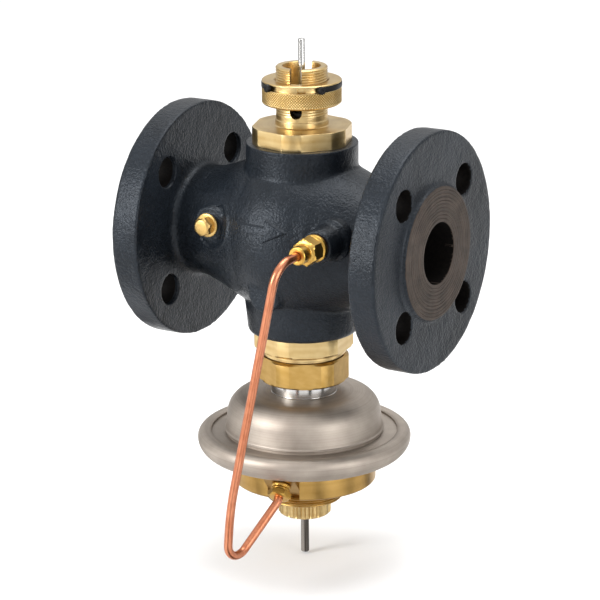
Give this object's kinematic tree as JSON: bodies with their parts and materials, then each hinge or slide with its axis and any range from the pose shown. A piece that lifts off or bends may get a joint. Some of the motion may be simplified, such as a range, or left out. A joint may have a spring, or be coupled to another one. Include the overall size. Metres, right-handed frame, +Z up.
{
  "type": "flanged pressure independent control valve",
  "caption": "Flanged valve with a round cast body, slotted brass actuator neck on top and a diaphragm unit below, fed by a bent copper tube.",
  "frame": {"origin": "centre of the inlet flange's raised face", "axes": "+X along the flow towards the outlet flange, +Z up the control stem, the fittings of the copper tube on the -Y side"},
  "size_m": [0.18, 0.1666, 0.314],
  "materials": {
    "painted_cast": "satin dark blue grey paint on cast iron",
    "brass": "turned and milled",
    "stainless": "turned stainless steel",
    "satin_stainless": "deep drawn, satin",
    "bright_steel": "bright turned steel",
    "spring_steel": "drawn wire",
    "black_plastic": "moulded",
    "rubber": "moulded elastomer",
    "fibre": "compressed fibre sheet",
    "copper": "soft drawn copper"
  },
  "bodies": {
    "valve": {"valve_body": "painted_cast", "bonnet": "brass", "bonnet_seal": "rubber", "stem_packing": "rubber", "packing_gland": "brass", "control_seat": "stainless", "control_spring": "spring_steel", "valve_insert": "brass", "insert_seal": "rubber", "insert_stem_seal": "rubber", "regulator_seat": "stainless", "union_nut": "brass", "union_gasket": "fibre", "unit_neck": "bright_steel", "upper_housing": "satin_stainless", "clamp_ring": "satin_stainless", "diaphragm": "rubber", "regulator_spring": "spring_steel", "lower_housing": "satin_stainless", "base_housing": "brass", "pin_seal": "rubber", "fluted_collar": "brass", "connector_washer": "copper", "upper_connector": "brass", "upper_tube_nut": "brass", "upper_ferrule": "brass", "impulse_tube": "copper", "lower_connector": "brass", "lower_tube_nut": "brass", "lower_ferrule": "brass", "plug_washer": "copper", "port_plug": "brass"},
    "control": {"control_stem": "bright_steel", "control_plug": "stainless"},
    "regulator": {"regulator_stem": "bright_steel", "regulator_plug": "stainless", "upper_plate": "bright_steel", "lower_plate": "bright_steel"},
    "limiter": {"stroke_limiter": "stainless"},
    "setting": {"setting_ring": "brass", "lock_clip": "black_plastic"}
  },
  "joints": [
    {"name": "control_stem_slide", "type": "slide", "parent": "valve", "child": "control", "axis": [0, 0, 1], "range_m": [-0.01, 0], "stiffness_N_per_m": 2000, "springref_m": 0.01, "deforming": ["control_spring"]},
    {"name": "regulator_slide", "type": "slide", "parent": "valve", "child": "regulator", "axis": [0, 0, 1], "range_m": [0, 0.006], "stiffness_N_per_m": 3000, "springref_m": -0.008, "deforming": ["regulator_spring", "diaphragm"]},
    {"name": "limiter_slide", "type": "slide", "parent": "valve", "child": "limiter", "axis": [0, 0, 1], "range_m": [-0.008, 0]},
    {"name": "setting_ring_turn", "type": "hinge", "parent": "limiter", "child": "setting", "pos_m": [0.09, 0, 0.0846], "axis": [0, 0, 1], "range_deg": [-1920, 0]}
  ],
  "couplings": [
    {"joint": "limiter_slide", "follows": "setting_ring_turn", "m_per_rad": 0.00023873}
  ]
}
